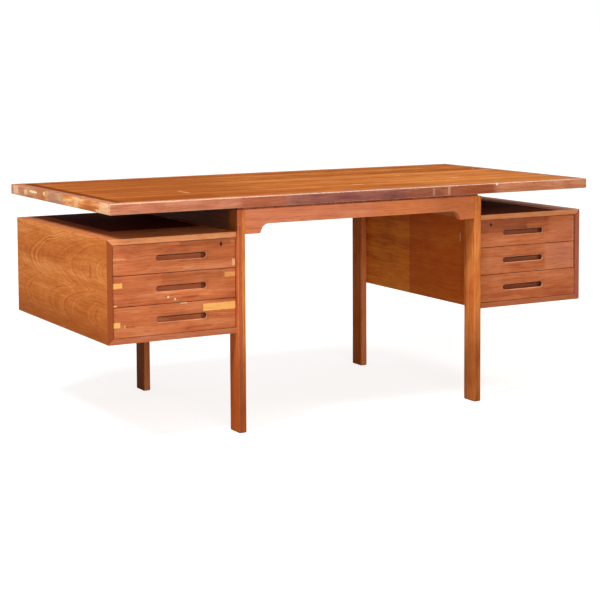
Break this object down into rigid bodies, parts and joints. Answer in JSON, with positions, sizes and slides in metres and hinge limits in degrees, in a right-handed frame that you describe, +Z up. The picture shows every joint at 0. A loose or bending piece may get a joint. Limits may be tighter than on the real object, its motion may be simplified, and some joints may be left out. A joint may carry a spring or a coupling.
{
  "type": "executive desk",
  "caption": "Writing desk with a floating rectangular top on a leg-and-rail frame, a drawer pedestal hung on each side of an open knee hole, and carved slot pulls.",
  "frame": {"origin": "on the floor, under the middle of the tabletop", "axes": "+X along the desk's length towards the right-hand pedestal, +Y from the drawer fronts to the back, +Z up"},
  "size_m": [1.756, 0.85, 0.73],
  "materials": {
    "teak_top": "teak veneer, satin oil",
    "teak_lipping": "solid teak, satin oil, worn",
    "teak_frame": "solid teak, satin oil",
    "teak_panel": "teak veneer, satin oil",
    "teak_front": "teak veneer, satin oil",
    "black_stained_wood": "dark stain",
    "beech": "solid beech, thin lacquer",
    "plywood": "beech-faced plywood",
    "lock_steel": "zinc-plated steel",
    "lock_brass": "tarnished brass"
  },
  "bodies": {
    "desk": {"top_panel": "teak_top", "front_lipping": "teak_lipping", "back_lipping": "teak_lipping", "left_lipping": "teak_lipping", "right_lipping": "teak_lipping", "front_spacer_strip": "black_stained_wood", "back_spacer_strip": "black_stained_wood", "left_spacer_strip": "black_stained_wood", "right_spacer_strip": "black_stained_wood", "front_rail": "teak_frame", "back_rail": "teak_frame", "left_side_rail": "teak_frame", "right_side_rail": "teak_frame", "left_front_leg": "teak_frame", "right_front_leg": "teak_frame", "left_back_leg": "teak_frame", "right_back_leg": "teak_frame", "left_pedestal_top": "teak_panel", "left_pedestal_bottom": "teak_panel", "left_pedestal_outer_side": "teak_panel", "left_pedestal_inner_side": "teak_panel", "left_pedestal_back": "teak_panel", "left_drawer_runners": "beech", "right_pedestal_top": "teak_panel", "right_pedestal_bottom": "teak_panel", "right_pedestal_outer_side": "teak_panel", "right_pedestal_inner_side": "teak_panel", "right_pedestal_back": "teak_panel", "right_drawer_runners": "beech"},
    "left_bottom_drawer": {"left_bottom_drawer_front": "teak_front", "left_bottom_drawer_sides": "beech", "left_bottom_drawer_back": "beech", "left_bottom_drawer_bottom": "plywood"},
    "left_middle_drawer": {"left_middle_drawer_front": "teak_front", "left_middle_drawer_sides": "beech", "left_middle_drawer_back": "beech", "left_middle_drawer_bottom": "plywood"},
    "left_top_drawer": {"left_top_drawer_front": "teak_front", "left_top_drawer_sides": "beech", "left_top_drawer_back": "beech", "left_top_drawer_bottom": "plywood", "left_lock_case": "lock_steel"},
    "left_lock_plug": {"left_lock_plug": "lock_brass"},
    "left_lock_bolt": {"left_lock_bolt": "lock_steel"},
    "right_bottom_drawer": {"right_bottom_drawer_front": "teak_front", "right_bottom_drawer_sides": "beech", "right_bottom_drawer_back": "beech", "right_bottom_drawer_bottom": "plywood"},
    "right_middle_drawer": {"right_middle_drawer_front": "teak_front", "right_middle_drawer_sides": "beech", "right_middle_drawer_back": "beech", "right_middle_drawer_bottom": "plywood"},
    "right_top_drawer": {"right_top_drawer_front": "teak_front", "right_top_drawer_sides": "beech", "right_top_drawer_back": "beech", "right_top_drawer_bottom": "plywood", "right_lock_case": "lock_steel"},
    "right_lock_plug": {"right_lock_plug": "lock_brass"},
    "right_lock_bolt": {"right_lock_bolt": "lock_steel"}
  },
  "joints": [
    {"name": "left_bottom_drawer_slide", "type": "slide", "parent": "desk", "child": "left_bottom_drawer", "axis": [0, -1, 0], "range_m": [0, 0.43]},
    {"name": "left_middle_drawer_slide", "type": "slide", "parent": "desk", "child": "left_middle_drawer", "axis": [0, -1, 0], "range_m": [0, 0.43]},
    {"name": "left_top_drawer_slide", "type": "slide", "parent": "desk", "child": "left_top_drawer", "axis": [0, -1, 0], "range_m": [0, 0.43]},
    {"name": "left_lock_turn", "type": "hinge", "parent": "left_top_drawer", "child": "left_lock_plug", "pos_m": [-0.5028, -0.371, 0.588], "axis": [0, 1, 0], "range_deg": [0, 90]},
    {"name": "left_bolt_slide", "type": "slide", "parent": "left_top_drawer", "child": "left_lock_bolt", "axis": [0, 0, 1], "range_m": [0, 0.006]},
    {"name": "right_bottom_drawer_slide", "type": "slide", "parent": "desk", "child": "right_bottom_drawer", "axis": [0, -1, 0], "range_m": [0, 0.43]},
    {"name": "right_middle_drawer_slide", "type": "slide", "parent": "desk", "child": "right_middle_drawer", "axis": [0, -1, 0], "range_m": [0, 0.43]},
    {"name": "right_top_drawer_slide", "type": "slide", "parent": "desk", "child": "right_top_drawer", "axis": [0, -1, 0], "range_m": [0, 0.43]},
    {"name": "right_lock_turn", "type": "hinge", "parent": "right_top_drawer", "child": "right_lock_plug", "pos_m": [0.5028, -0.371, 0.588], "axis": [0, -1, 0], "range_deg": [0, 90]},
    {"name": "right_bolt_slide", "type": "slide", "parent": "right_top_drawer", "child": "right_lock_bolt", "axis": [0, 0, 1], "range_m": [0, 0.006]}
  ],
  "couplings": [
    {"joint": "left_lock_turn", "follows": "left_bolt_slide", "rad_per_m": 261.79},
    {"joint": "right_lock_turn", "follows": "right_bolt_slide", "rad_per_m": 261.79}
  ]
}
